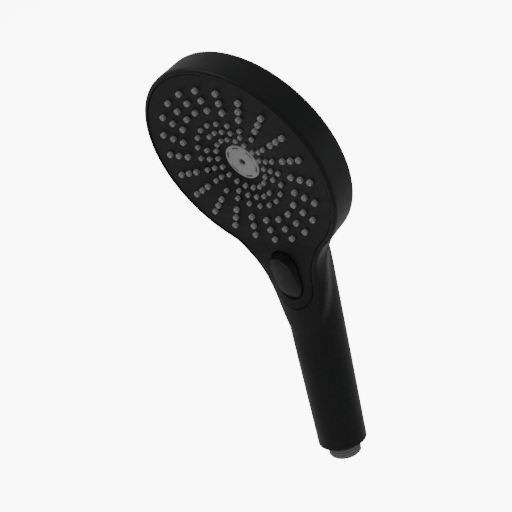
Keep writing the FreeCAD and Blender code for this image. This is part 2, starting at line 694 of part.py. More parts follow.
def stadium_sketch(sketch, radius, half, run):
    """Stadium outline, long way along the sketch's y, centred at run."""
    upper = Part.Circle(Vector(0, run + half, 0), Vector(0, 0, 1), radius)
    lower = Part.Circle(Vector(0, run - half, 0), Vector(0, 0, 1), radius)
    sketch.addGeometry(Part.ArcOfCircle(upper, 0, math.pi), False)
    sketch.addGeometry(Part.ArcOfCircle(lower, math.pi, 2 * math.pi), False)
    for x in (-radius, radius):
        sketch.addGeometry(Part.LineSegment(Vector(x, run - half, 0), Vector(x, run + half, 0)), False)


def coil(name, mean_radius, wire_radius, pitch, height, frame):
    """Round-wire helical spring about its frame's z axis."""
    helix = doc.addObject("Part::Helix", f"{name}Helix")
    helix.Radius = mean_radius
    helix.Pitch = pitch
    helix.Height = height
    wire = doc.addObject("Part::Circle", f"{name}Wire")
    wire.Radius = wire_radius
    wire.Placement = Placement(Vector(mean_radius, 0, 0), Rotation(Vector(1, 0, 0), 90))
    sweep = doc.addObject("Part::Sweep", name)
    sweep.Sections = [wire]
    sweep.Spine = helix
    sweep.Solid = True
    sweep.Frenet = True
    return placed(f"{name}Placed", sweep, frame)


def mode_valve():
    """Push-to-select diverter: plunger, spring, cap, body, ported seat and indexing rotor."""
    y = "$valve_run"
    body_low, body_high = "8.6", "25.2"
    seat_level = "12.4"
    cup = cylinder("ValveCup", "$valve_radius", body_low, body_high, y=y)
    outlet = box("ValveOutlet", ("-9", "9"), ("-3.5", f"{y} - 4"), (body_low, "14"))
    socket = placed("SocketPlaced", cylinder("TubeSocket", "8.6", "112", "129"), ROW_IN_NECK)
    inlet = fuse("ValveInlet", cylinder("SocketBore", "$tube_radius + 0.1", "111", "121.5"),
                 cylinder("InletRun", "3.5", "111", "134"))
    chamber = cylinder("ValveChamber", "$valve_bore", "10.4", "26", y=y)
    drilled = [primitive("Cylinder", f"OutletRun{x}", (f"{x}", "-5", "9.6"), (Vector(1, 0, 0), -90),
                         Radius="0.9", Height=f"{length}")
               for x, length in ((0, 17), (4.2, 24), (-4.2, 24))]
    pilots = holes_on("ValvePilot", "$cap_bolt_circle", "0.9", "19", "26", 3, 90, y)
    cap_seat = cylinder("CapSeat", "$valve_radius + 0.1", body_high, "36", y=y)
    blank = fuse("ValveBlank", cup, outlet, socket)
    node("valve_body", cut("ValveBody", blank, chamber, placed("InletPlaced", inlet, ROW_IN_NECK),
                           *drilled, pilots, cap_seat), NECK)

    ports = holes_on("SeatPort", "$port_circle", "$port_radius", "9", "13", 3, 30, y)
    seat = cylinder("SeatDisc", "$valve_bore - 0.1", "10.9", seat_level, y=y)
    seat_eye = cylinder("SeatEye", "1.5 + $running_fit", "9", "13", y=y)
    node("valve_seat", cut("ValveSeat", seat, seat_eye, ports), NECK)

    def port_seal(name, cosine, sine):
        return ring(name, "2.0", "0.25", "10.65", *on_circle("$port_circle", cosine, sine, y))

    node("port_seals", polar("PortSeal", port_seal, 3, 30), NECK)

    disc = cylinder("RotorDisc", "$valve_bore - 0.4", "12.45", "14.6", y=y)
    stub = cylinder("RotorStub", "1.5", "11.0", "13", y=y)
    stem = cylinder("RotorStem", "3.4", "14", "17.6", y=y)
    teeth = polar("RotorTooth", lambda name, c, s: primitive(
        "Box", name, (f"{2.2 * c + 0.6 * s}", f"{y} + {2.2 * s - 0.6 * c}", "17.4"),
        (Vector(0, 0, 1), math.degrees(math.atan2(s, c))), Length="1.1", Width="1.2", Height="1.4"), 6)
    first_port = math.radians(30)
    window = cylinder("RotorWindow", "$port_radius", "12", "16",
                      *on_circle("$port_circle", math.cos(first_port), math.sin(first_port), y))
    node("valve_rotor", cut("Rotor", fuse("RotorBlank", disc, stub, stem, teeth), window), NECK)

    cap_disc = cylinder("CapDisc", "$valve_radius", body_high, "27.0", y=y)
    guide = cylinder("CapGuide", "4.2", "22.6", "27.0", y=y)
    guide_bore = cylinder("CapBore", "$plunger_radius + $running_fit", "20", "30", y=y)
    seal_room = cylinder("CapSealRoom", "3.4", "24.0", "25.4", y=y)
    holes = holes_on("CapHole", "$cap_bolt_circle", "1.2", "24", "28", 3, 90, y)
    blank = fuse("CapBlank", cap_disc, guide)
    node("valve_cap", cut("ValveCap", blank, guide_bore, seal_room, holes), NECK)

    def cap_screw(name, cosine, sine):
        x, place = on_circle("$cap_bolt_circle", cosine, sine, y)
        return fuse(name, cylinder(f"{name}Head", "1.45", "27.0", "28.2", x, place),
                    cylinder(f"{name}Shank", "0.9", "20", "27.2", x, place))

    node("valve_cap_screws", polar("CapScrew", cap_screw, 3, 90), NECK)

    shaft = cylinder("PlungerShaft", "$plunger_radius", "20.6", "30.0", y=y)
    flange = cylinder("PlungerFlange", "4.6", "29.3", "30.4", y=y)
    pawl = tube("PlungerPawl", "3.6", "2.0", "20.6", "21.6", y=y)
    node("plunger", fuse("Plunger", shaft, flange, pawl), NECK)
    node("plunger_seal", ring("PlungerSeal", "2.96", "0.42", "24.7", y=y), NECK)
    on_pin = Placement(Vector(4.5, dim("pivot_run"), dim("pivot_level")), Rotation(Vector(0, 1, 0), 90))
    node("return_spring", coil("ReturnSpring", 1.4, 0.2, 0.8, 1.6, on_pin), NECK)


# ---- handle waterway -------------------------------------------------------------------------------

def hose_connector():
    """Turned inlet: G1/2 thread below the handle, plug with grooves inside it, bored for the water."""
    body = body_of("ConnectorBody")
    profile = sketch_on(body, "XZ_Plane", "ConnectorProfile")
    crest, root, pitch = dim("thread_radius"), dim("thread_root"), dim("thread_pitch")
    outside = [(root, 0.0)]
    for turn in range(THREAD_TURNS):
        start = 0.1 + turn * pitch
        outside += [(root, start), (crest, start + 0.34 * pitch), (crest, start + 0.52 * pitch),
                    (root, start + 0.86 * pitch)]
    outer = dim("connector_radius")
    outside += [(root, dim("handle_end") - 0.5), (outer, dim("handle_end") - 0.5), (outer, 19.0),
                (outer - 1.5, 19.0), (outer - 1.5, 21.4), (outer, 21.4), (outer, 25.9),
                (outer - 1.4, 25.9), (outer - 1.4, 27.5), (outer, 27.5), (outer, 38.0)]
    bore = [(dim("tube_radius") + 0.05, 38.0), (dim("tube_radius") + 0.05, 28.0), (dim("tube_bore"), 28.0),
            (dim("tube_bore"), 25.0), (7.1, 25.0), (7.1, 12.0), (dim("inlet_radius"), 12.0),
            (dim("inlet_radius"), 0.0)]
    polygon(profile, outside + bore)
    turned = feature(body, "Revolution", "ConnectorTurned", profile)
    turned.ReferenceAxis = (profile, ["V_Axis"])
    node("hose_connector", body)
    node("connector_seal", ring("ConnectorSeal", "$connector_radius - 0.65", "0.74", "20.2"))
    split = tube("RetainingBlank", "$handle_bore + 0.5", "$connector_radius - 1.3", "26.1", "27.3")
    gap = box("RingSplit", ("-2", "2"), ("5", "14"), ("25", "29"))
    node("retaining_ring", cut("RetainingRing", split, gap))


def water_tube():
    """Water tube with two O-ring grooves at each end."""
    seals = []
    grooves = []
    for index, level in enumerate((32, 36, 114.5, 118.5)):
        seals.append(ring(f"TubeSeal{index}", "$tube_radius - 0.55", "0.57", f"{level}"))
        grooves.append(tube(f"TubeGroove{index}", "$tube_radius + 1", "$tube_radius - 1.15",
                            f"{level} - 0.75", f"{level} + 0.75"))
    node("inner_tube", cut("GroovedTube", tube("PlainTube", "$tube_radius", "$tube_bore", "28.1", "121"),
                           *grooves))
    node("tube_seals", fuse("TubeSeals", *seals))


def inlet_parts():
    """Filter screen, flow limiter and check valve, stacked in the connector's bore."""
    frame = tube("ScreenFrame", "$inlet_radius - 0.05", "6.4", "6.2", "7.8")
    bars = [box(f"ScreenBarX{index}", ("-6.6", "6.6"), (f"{1.6 * index} - 0.25", f"{1.6 * index} + 0.25"),
                ("6.8", "7.3")) for index in range(-3, 4)]
    bars += [box(f"ScreenBarY{index}", (f"{1.6 * index} - 0.25", f"{1.6 * index} + 0.25"), ("-6.6", "6.6"),
                 ("6.8", "7.3")) for index in range(-3, 4)]
    rim = cylinder("ScreenRim", "6.9", "6", "8")
    node("filter_screen", fuse("FilterScreen", frame, common("ScreenMesh", fuse("ScreenBars", *bars), rim)))

    holes = holes_on("LimiterHole", "4.4", "0.8", "7", "13", 8)
    disc = cylinder("LimiterDisc", "$inlet_radius - 0.05", "8", "11.8")
    dish = cylinder("LimiterDish", "2.6", "7.9", "10")
    node("flow_limiter", cut("FlowLimiter", disc, holes, dish))

    cage = tube("CheckCage", "7.05", "5.2", "12.2", "24.8")
    seat = tube("CheckSeat", "5.6", "3.0", "12.2", "13.8")
    hub = tube("CheckHub", "2.2", "1.26", "22.6", "24.8")
    arms = polar("CheckArm", lambda name, c, s: primitive(
        "Box", name, (f"{1.9 * c + 0.5 * s}", f"{1.9 * s - 0.5 * c}", "23.2"),
        (Vector(0, 0, 1), math.degrees(math.atan2(s, c))), Length="3.8", Width="1", Height="1.6"), 3)
    node("check_valve_body", fuse("CheckValveBody", cage, seat, hub, arms))
    poppet = fuse("Poppet", cylinder("PoppetDisc", "4.1", "13.9", "15.2"),
                  cylinder("PoppetStem", "1.2", "14", "24.4"))
    node("check_poppet", poppet)
    node("check_spring", coil("CheckSpring", 2.0, 0.25, 1.6, 6.4, Placement(Vector(0, 0, 15.6), Rotation())))


housing()
face_plate()
nozzle_mat("rain_mat", "rain_floor", "rain_inner", "rain_outer", "large_radius", RAIN_NOZZLES)
nozzle_mat("soft_mat", "soft_floor", "soft_inner", "soft_outer", "small_radius", SOFT_NOZZLES)
spray_disc()
distributor()
manifold_and_gasket()
engine_screws()
massage_drive()
rim_seal()
select_button()
mode_valve()
hose_connector()
water_tube()
inlet_parts()

# ---- write -----------------------------------------------------------------------------------------

doc.recompute()
for obj in doc.Objects:
    if "Invalid" in obj.State or "Error" in obj.State:
        raise RuntimeError(f"{obj.Name} ({obj.Label}) failed: {obj.State}")
os.makedirs("parts", exist_ok=True)
for obj in nodes:
    if obj.Shape.isNull() or not obj.Shape.isValid():
        raise RuntimeError(f"{obj.Label} has no valid shape")
    obj.Shape.exportStep(f"parts/{obj.Label}.step")
    solids = len(obj.Shape.Solids)
    print(f"{obj.Label}: {solids} solid(s), {obj.Shape.Volume / 1000:.2f} cm3")
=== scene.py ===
import itertools
import json
import math

import bmesh
import bpy
import numpy as np
from mathutils import Matrix, Vector
from mathutils.geometry import delaunay_2d_cdt

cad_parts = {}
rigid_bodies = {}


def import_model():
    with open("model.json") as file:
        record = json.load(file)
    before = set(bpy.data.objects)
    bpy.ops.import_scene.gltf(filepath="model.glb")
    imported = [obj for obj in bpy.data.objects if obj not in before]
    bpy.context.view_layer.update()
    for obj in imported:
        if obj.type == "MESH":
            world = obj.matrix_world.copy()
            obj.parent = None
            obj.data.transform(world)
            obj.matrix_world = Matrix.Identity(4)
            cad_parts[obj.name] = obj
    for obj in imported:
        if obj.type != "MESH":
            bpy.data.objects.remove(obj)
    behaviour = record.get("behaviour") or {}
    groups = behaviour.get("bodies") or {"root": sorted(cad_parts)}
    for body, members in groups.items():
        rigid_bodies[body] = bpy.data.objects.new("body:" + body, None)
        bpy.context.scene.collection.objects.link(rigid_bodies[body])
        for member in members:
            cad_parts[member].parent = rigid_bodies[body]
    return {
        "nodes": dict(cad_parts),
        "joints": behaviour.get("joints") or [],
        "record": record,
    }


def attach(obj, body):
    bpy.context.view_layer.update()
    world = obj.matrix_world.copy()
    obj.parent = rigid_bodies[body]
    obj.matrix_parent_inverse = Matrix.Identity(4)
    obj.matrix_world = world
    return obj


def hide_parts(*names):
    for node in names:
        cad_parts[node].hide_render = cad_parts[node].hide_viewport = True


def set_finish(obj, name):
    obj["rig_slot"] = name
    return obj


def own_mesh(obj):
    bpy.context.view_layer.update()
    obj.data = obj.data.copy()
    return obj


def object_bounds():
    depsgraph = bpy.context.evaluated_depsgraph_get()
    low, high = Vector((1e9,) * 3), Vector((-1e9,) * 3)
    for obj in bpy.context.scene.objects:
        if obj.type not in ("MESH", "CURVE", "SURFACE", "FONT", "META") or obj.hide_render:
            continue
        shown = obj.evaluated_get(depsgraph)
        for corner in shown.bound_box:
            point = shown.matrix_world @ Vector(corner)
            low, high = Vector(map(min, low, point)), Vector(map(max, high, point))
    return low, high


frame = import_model()
cad_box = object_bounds()

# Lengths are millimetres in the frames below and become metres when a mesh is made.
# Head frame: x across, a along the spray face towards the handle, h out of the face.
# Neck frame: the same, tilted so that a runs down the neck's front.
# Row frame: the CAD's own, with +Z up the handle.
MM = 0.001
TIP_LEVEL = 36.0            # head-frame height of the nozzle tips
WHEEL_LEVEL = 25.0          # head-frame height of the turbine joint
PIVOT_RUN = 33.5            # the button's pin in the neck frame
PIVOT_LEVEL = 32.2

NECK_SLOPE = 0.28           # rise of the neck's front per mm towards the handle
NECK_START = 58.0
RIM_LEVEL = TIP_LEVEL - 0.9
BACK_LEVEL = 15.0
DOME_LEVEL = 2.0
DOME_RADIUS = 177.6
WALL = 3.8                  # where two surfaces blend into each other it thins to about half

SEAM = dict(head=64.2, hollow=54.0, cap=16.8, along=82.6)
RECESS = dict(head=64.5, hollow=53.7, cap=17.1, along=82.6)
CAVITY = dict(head=61.8, hollow=56.2, cap=14.6, along=82.6)
RIM = dict(head=67.5, hollow=51.5, cap=18.6, along=86.0)

LIP_ROOM = 0.9              # width of the strip along the seam that is modelled on its own

HANDLE_END = 9.7
HANDLE_STATION = 105.6      # row height at which the handle's radius is HANDLE_RADIUS
HANDLE_RADIUS = 17.28
HANDLE_TAPER = 1.6 / 95.9
STATION_ALONG = 107.0
STATION_LEVEL = 32.37
HANDLE_BORE = 11.0
BORE_TOP = 130.0

OPENING_RADIUS = 10.6
OPENING_HALF = 5.7
OPENING_RUN = 20.0
BUTTON_RISE = 6.0

LARGE_NOZZLE = dict(radius=1.8, hole=1.98, height=1.95)
SMALL_NOZZLE = dict(radius=1.48, hole=1.66, height=1.75)
SPOKES = 22
INNER_SPOKES = 18
MIDDLE_RING_GAPS = (3, 8, 14, 19)
DISC_HOLE = 12.1
MAT_THICKNESS = 1.2


# ---- frames ----------------------------------------------------------------------------------------

joints = {joint["name"]: joint for joint in frame["joints"]}


def frame_matrix(out, point, along, level):
    """Matrix from a part frame in mm to the row frame in metres; out is its h axis."""
    out = Vector(out).normalized()
    across = Vector((-1, 0, 0))
    down = out.cross(across)
    turn = Matrix((across, down, out)).transposed()
    origin = Vector(point) / MM - down * along - out * level
    return Matrix.Scale(MM, 4) @ Matrix.Translation(origin) @ turn.to_4x4()


HEAD = frame_matrix(joints["turbine_spin"]["axis"], joints["turbine_spin"]["pos_m"], 0.0, WHEEL_LEVEL)
NECK = frame_matrix(-Vector(joints["plunger_slide"]["axis"]), joints["button_press"]["pos_m"],
                    PIVOT_RUN, PIVOT_LEVEL)
ROW = Matrix.Scale(MM, 4)
HEAD_TILT = math.asin(-Vector(joints["turbine_spin"]["axis"]).normalized().z)


def carried(points, matrix):
    """Points (n, 3) through a 4 x 4 matrix."""
    table = np.array(matrix)
    return points @ table[:3, :3].T + table[:3, 3]


# ---- surfaces of the head, as fields that are negative inside ---------------------------------------

def smooth(t):
    t = np.clip(t, 0.0, 1.0)
    return t * t * (3.0 - 2.0 * t)


def round_max(first, second, radius):
    """Overlap of two bodies whose shared edge is rounded."""
    u = np.maximum(first + radius, 0.0)
    v = np.maximum(second + radius, 0.0)
    return np.minimum(np.maximum(first, second), -radius) + np.hypot(u, v)


def soft_max(first, second, reach):
    """Overlap of two bodies that meet at a shallow angle, eased into each other."""
    share = np.maximum(1.0 - np.abs(first - second) / reach, 0.0)
    return np.maximum(first, second) + reach / 4.0 * share**2


def round_min(first, second, radius):
    """Union of two bodies with a fillet between them."""
    return -round_max(-first, -second, radius)


def pear(x, a, head, hollow, cap, along):
    """Distance outside a round head joined to a round cap by two concave arcs."""
    x = np.abs(x)
    centre_a = (along**2 + (head + hollow)**2 - (cap + hollow)**2) / (2.0 * along)
    centre_x = math.sqrt((head + hollow)**2 - centre_a**2)
    dx, da = x - centre_x, a - centre_a
    past_head = da * centre_x - dx * centre_a > 0.0
    before_cap = dx * (along - centre_a) + da * centre_x < 0.0
    in_neck = past_head & before_cap
    ends = np.minimum(np.hypot(x, a) - head, np.hypot(x, a - along) - cap)
    return np.where(in_neck, hollow - np.hypot(dx, da), ends)


def front_level(x, a):
    """Height of the front surface: flat on the head, sloping and rounding over along the neck."""
    bend = 1.6
    neck = TIP_LEVEL - 1.3 + NECK_SLOPE * bend * np.logaddexp(0.0, (a - NECK_START) / bend)
    flattening = 1.5 * np.exp(-(((a - 100.0) / 32.0)**2)) - 5.0 * smooth((a - 112.0) / 50.0)
    handle = TIP_LEVEL + 14.6 + 0.3145 * (a - STATION_ALONG) - flattening
    share = smooth((a - 92.0) / 16.0)
    crown = smooth((a - 62.0) / 40.0) / 70.0
    return neck * (1.0 - share) + handle * share - crown * np.minimum(np.abs(x), 30.0)**2


def back_slope(a):
    full = math.tan(HEAD_TILT)
    return full - (full + 0.75) * smooth((92.0 - a) / 92.0)


CURVE_A = np.linspace(-80.0, 230.0, 1241)
CURVE_H = np.concatenate(([0.0], np.cumsum(np.diff(CURVE_A) * back_slope(CURVE_A[1:] - 0.125))))
CURVE_H += STATION_LEVEL - np.interp(STATION_ALONG, CURVE_A, CURVE_H)


def grip(x, a, h):
    """Round handle whose axis bends over and runs out inside the head."""
    level = np.interp(a, CURVE_A, CURVE_H)
    lean = 1.0 / np.sqrt(1.0 + back_slope(a)**2)
    radius = HANDLE_RADIUS - (a - STATION_ALONG) / math.cos(HEAD_TILT) * HANDLE_TAPER
    radius = np.minimum(radius, 18.2) - 8.0 * smooth((50.0 - a) / 60.0)
    return np.hypot(x, (h - level) * lean) - radius


def carcass(x, a, h):
    """The housing's rim, back, neck and handle as one body, before its front is cut."""
    wall = pear(x, a, **RIM) + 0.04 * (RIM_LEVEL - h)
    ball = np.sqrt(x * x + a * a + (h - DOME_LEVEL - DOME_RADIUS)**2) - DOME_RADIUS
    ramp = (BACK_LEVEL + (a - 52.0) * 0.5 - h) / math.hypot(1.0, 0.5)
    back = round_max(ball, ramp, 4.0)
    shell = round_max(wall, back, 1.9)
    return round_min(shell, grip(x, a, h), 14.0)


def outside(x, a, h):
    """The housing's outer surface, before the plate's recess."""
    body = carcass(x, a, h)
    rise = np.where(a < NECK_START, 1.0, 0.963)
    front = (h - front_level(x, a) - (RIM_LEVEL - TIP_LEVEL + 1.3) * smooth((80.0 - a) / 30.0)) * rise
    onto_handle = smooth((a - 86.0) / 18.0)
    return round_max(body, front, 2.2) * (1.0 - onto_handle) + soft_max(body, front, 3.0) * onto_handle


def row_of(x, a, h):
    """Distance from the handle's axis and height up it."""
    cosine, sine = math.cos(HEAD_TILT), math.sin(HEAD_TILT)
    along = (a - STATION_ALONG) * cosine + (h - STATION_LEVEL) * sine
    off = (h - STATION_LEVEL) * cosine - (a - STATION_ALONG) * sine
    return np.hypot(x, off), HANDLE_STATION - along


def housing_field(x, a, h):
    """Negative inside the housing's plastic."""
    skin = outside(x, a, h)
    from_axis, height = row_of(x, a, h)
    body = round_max(skin, HANDLE_END - height, 1.0)
    seat = front_level(x, a) - 2.6 - h
    recess = np.maximum(pear(x, a, **RECESS) - LIP_ROOM, seat)
    chamber = np.maximum(pear(x, a, **CAVITY), carcass(x, a, h) + WALL)
    bore = np.maximum(from_axis - HANDLE_BORE, height - BORE_TOP)
    hollow = np.minimum(chamber, bore)
    body = round_max(body, -recess, 0.45)
    return round_max(body, -hollow, 0.3)


# ---- mesh helpers ----------------------------------------------------------------------------------

def gradient(field, points, reach=0.05):
    """Field's gradient at each point, by central differences."""
    slopes = []
    for axis in range(3):
        offset = np.zeros(3)
        offset[axis] = reach
        ahead = field(*(points + offset).T)
        behind = field(*(points - offset).T)
        slopes.append((ahead - behind) / (2.0 * reach))
    return np.stack(slopes, axis=1)


def onto_surface(field, points, rounds=4):
    """Points moved to the field's zero level along its gradient."""
    for _ in range(rounds):
        slope = gradient(field, points)
        steep = np.maximum((slope**2).sum(axis=1), 0.2)
        step = slope * (field(*points.T) / steep)[:, None]
        points = points - np.clip(step, -0.6, 0.6)
    return points


def surface_net(field, low, high, step):
    """Points and quads of the field's zero level: one point in each cell that it crosses."""
    axes = [np.arange(start, end + step, step) for start, end in zip(low, high)]
    inside = field(*np.meshgrid(*axes, indexing="ij", sparse=True)) < 0.0
    shape = [n - 1 for n in inside.shape]
    count = np.zeros(shape, np.int8)
    for corner in itertools.product((0, 1), repeat=3):
        count += inside[tuple(slice(c, c + n) for c, n in zip(corner, shape))]
    crossed = (count > 0) & (count < 8)
    number = np.full(shape, -1, np.int64)
    number[crossed] = np.arange(crossed.sum())
    points = np.stack([axis[i] + step / 2 for axis, i in zip(axes, np.nonzero(crossed))], axis=1)

    quads = []
    for axis in range(3):
        second, third = (axis + 1) % 3, (axis + 2) % 3
        turned = np.moveaxis(inside, (axis, second, third), (0, 1, 2))[:, 1:-1, 1:-1]
        cells = np.moveaxis(number, (axis, second, third), (0, 1, 2))
        leaves = turned[:-1] & ~turned[1:]
        enters = ~turned[:-1] & turned[1:]
        ring = (cells[:, :-1, :-1], cells[:, 1:, :-1], cells[:, 1:, 1:], cells[:, :-1, 1:])
        quads.append(np.stack([corner[leaves] for corner in ring], axis=1))
        quads.append(np.stack([corner[enters] for corner in ring[::-1]], axis=1))
    return points, np.concatenate(quads)


def relaxed(field, points, quads, rounds):
    """Evens out the spacing of a surface net, keeping its points on the surface."""
    pairs = np.concatenate([quads[:, [i, (i + 1) % 4]] for i in range(4)])
    for _ in range(rounds):
        total = np.zeros_like(points)
        weight = np.zeros(len(points))
        for here, there in ((0, 1), (1, 0)):
            np.add.at(total, pairs[:, here], points[pairs[:, there]])
            np.add.at(weight, pairs[:, here], 1.0)
        points = onto_surface(field, 0.5 * points + 0.5 * total / weight[:, None], rounds=2)
    return points


def mesh_object(name, points, faces, matrix, normals=None):
    """A smooth-shaded object from points in a part frame."""
    mesh = bpy.data.meshes.new(name)
    mesh.from_pydata(carried(np.asarray(points, float), matrix).tolist(), [], [list(f) for f in faces])
    mesh.validate()
    mesh.shade_smooth()
    if normals is not None:
        turn = np.array(matrix)[:3, :3]
        turned = normals @ turn.T
        turned /= np.linalg.norm(turned, axis=1)[:, None]
        mesh.normals_split_custom_set_from_vertices(turned.tolist())
    piece = bpy.data.objects.new(name, mesh)
    bpy.context.scene.collection.objects.link(piece)
    return piece


def sharpen(piece, degrees):
    """Hard shading across edges steeper than the angle."""
    piece.data.set_sharp_from_angle(angle=math.radians(degrees))


def loops_to_faces(first, second, count, closed=True):
    """Quads between two rings of points that start at these numbers."""
    span = range(count if closed else count - 1)
    return [(first + i, first + (i + 1) % count, second + (i + 1) % count, second + i) for i in span]


def lathe(profile, segments, at=(0.0, 0.0, 0.0), closed=False):
    """Points and quads of a (radius, height) profile turned about h at one place."""
    turns = np.linspace(0.0, 2.0 * math.pi, segments, endpoint=False)
    points = [(at[0] + r * math.cos(t), at[1] + r * math.sin(t), at[2] + h)
              for r, h in profile for t in turns]
    pairs = list(zip(range(len(profile)), range(1, len(profile))))
    if closed:
        pairs.append((len(profile) - 1, 0))
    faces = []
    for low, high in pairs:
        faces += loops_to_faces(low * segments, high * segments, segments)
    return points, faces


def gathered(groups):
    """Several (points, faces) as one."""
    points, faces = [], []
    for more_points, more_faces in groups:
        start = len(points)
        points += list(more_points)
        faces += [tuple(start + i for i in face) for face in more_faces]
    return points, faces


def placed(piece, body, slot, *nodes):
    """The piece rides on a body, takes a record slot's finish and stands for CAD nodes."""
    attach(piece, body)
    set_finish(piece, slot)
    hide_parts(*nodes)
    return piece


# ---- housing ---------------------------------------------------------------------------------------

def front_height(x, a):
    """Height of the housing's finished front surface, found by stepping straight up or down."""
    h = front_level(x, a)
    for _ in range(12):
        rate = (outside(x, a, h + 0.02) - outside(x, a, h - 0.02)) / 0.04
        h = h - np.clip(outside(x, a, h) / np.maximum(rate, 0.3), -0.5, 0.5)
    return h


def seam_lip():
    """Closed ring that finishes the housing's edge along the seam with a small even rounding.
    Each row is a distance out from the seam, a drop from the housing's front and a lean of the normal."""
    outline = pear_points(0.8, **RECESS)
    top = [(2.6, -0.2, 0), (2.4, 0.02, 0), (2.1, 0.02, 0), (1.7, 0.02, 0), (1.3, 0.02, 0),
           (0.9, 0.02, 0), (0.5, 0.02, 0), (0.3, 0.0, 12), (0.14, -0.06, 40), (0.04, -0.18, 70),
           (0.0, -0.34, 90)]
    under = [(0.0, -2.5, 90), (LIP_ROOM - 0.05, -2.5, 90), (LIP_ROOM - 0.05, -0.7, 90)]
    count = len(outline)
    points, normals, faces = [], [], []
    for inset, drop, turn in top + under:
        ring = offset_ring(outline, inset)
        guide = offset_ring(outline, max(inset, 0.3))
        level = front_height(*guide.T)
        inward = -(offset_ring(outline, 1.0) - np.array(outline))
        skyward = gradient(outside, np.column_stack([guide, level]))
        skyward /= np.linalg.norm(skyward, axis=1)[:, None]
        lean = math.radians(turn)
        points.append(np.column_stack([ring, level + drop]))
        sideways = np.column_stack([inward, np.zeros(count)])
        normals.append(skyward * math.cos(lean) + sideways * math.sin(lean))
    rows = len(points)
    for row in range(rows):
        faces += loops_to_faces(row * count, (row + 1) % rows * count, count)
    piece = mesh_object("housing_seam_lip", np.concatenate(points), faces, HEAD, np.concatenate(normals))
    return placed(piece, "handset", "housing_black", "housing")


def housing():
    step = 1.0
    points, quads = surface_net(housing_field, (-70.0, -70.0, -4.0), (70.0, 216.0, 92.0), step)
    points = onto_surface(housing_field, points, rounds=5)
    points = relaxed(housing_field, points, quads, rounds=3)
    points = onto_surface(housing_field, points)
    piece = mesh_object("housing_shell", points, quads, HEAD, gradient(housing_field, points))
    return placed(piece, "handset", "housing_black", "housing")


# ---- face plate ------------------------------------------------------------------------------------

def ring_centres(radius, spokes, gaps=()):
    turns = [2.0 * math.pi * k / spokes for k in range(spokes) if k not in gaps]
    return [(radius * math.sin(t), radius * math.cos(t)) for t in turns]


LARGE_CENTRES = [c for radius in (53.5, 46.5, 39.5) for c in ring_centres(radius, SPOKES)]
SMALL_CENTRES = (ring_centres(29.57, SPOKES) + ring_centres(23.48, SPOKES, MIDDLE_RING_GAPS)
                 + ring_centres(17.38, INNER_SPOKES))


def plate_level(x, a):
    """Height of the plate's front: a shallow dish on the head, flush with the housing on the neck."""
    t = np.clip((SEAM["head"] - np.hypot(x, a)) / (SEAM["head"] - DISC_HOLE), 0.0, 1.0)
    dish = 3.79 * t - 3.25 * t**2 + 5.23 * t**3
    keep = 1.0 - smooth((a - 56.0) / 12.0)
    return np.minimum(front_level(x, a) - dish * keep, front_height(x, a))


def pear_points(spacing, head, hollow, cap, along):
    """Points around the pear outline, anticlockwise seen from the front."""
    centre_a = (along**2 + (head + hollow)**2 - (cap + hollow)**2) / (2.0 * along)
    centre_x = math.sqrt((head + hollow)**2 - centre_a**2)
    head_turn = math.atan2(centre_a, centre_x)
    cap_turn = math.atan2(centre_a - along, centre_x)

    def arc(x, a, radius, start, end):
        count = max(2, round(abs(end - start) * radius / spacing))
        turns = np.linspace(start, end, count, endpoint=False)
        return [(x + radius * math.cos(t), a + radius * math.sin(t)) for t in turns]

    return (arc(0.0, 0.0, head, math.pi - head_turn, head_turn + 2.0 * math.pi)
            + arc(centre_x, centre_a, hollow, head_turn + math.pi, cap_turn + math.pi)
            + arc(0.0, along, cap, cap_turn, math.pi - cap_turn)
            + arc(-centre_x, centre_a, hollow, -cap_turn, -head_turn))


def circle_points(x, a, radius, count):
    turns = [2.0 * math.pi * i / count for i in range(count)]
    return [(x + radius * math.cos(t), a + radius * math.sin(t)) for t in turns]


def neck_to_head(y):
    """Head-frame distance along for a point on the neck's front, given its neck-frame distance."""
    return (HEAD.inverted() @ NECK @ Vector((0.0, y, TIP_LEVEL))).y


def stadium_points(radius, spacing, carry=lambda y: y):
    """Stadium outline in neck coordinates, each distance along passed through carry."""
    count = max(8, round(math.pi * radius / spacing))
    steps = max(2, round(2.0 * OPENING_HALF / spacing))
    upper = [(radius * math.cos(t), OPENING_RUN + OPENING_HALF + radius * math.sin(t))
             for t in np.linspace(0.0, math.pi, count, endpoint=False)]
    left = [(-radius, OPENING_RUN + OPENING_HALF * (1.0 - 2.0 * i / steps)) for i in range(steps)]
    lower = [(-x, 2.0 * OPENING_RUN - y) for x, y in upper]
    right = [(-x, 2.0 * OPENING_RUN - y) for x, y in left]
    return [(x, carry(y)) for x, y in upper + left + lower + right]


def offset_ring(ring, distance):
    """The closed ring moved sideways, to its right for a positive distance."""
    loop = np.array(ring)
    ahead = np.roll(loop, -1, axis=0) - np.roll(loop, 1, axis=0)
    ahead /= np.linalg.norm(ahead, axis=1)[:, None]
    return loop + distance * np.stack([ahead[:, 1], -ahead[:, 0]], axis=1)


EDGE_ROUND = 0.35
HOLE_ROUND = 0.2
EDGE_STEPS = ((0.6, 0.08), (0.25, 0.3), (0.0, 0.75), (0.0, 1.0))   # shares: inset and drop
PLATE_THICKNESS = 2.3
PLATE_PITCH = 1.7           # spacing of the plate's inner mesh points


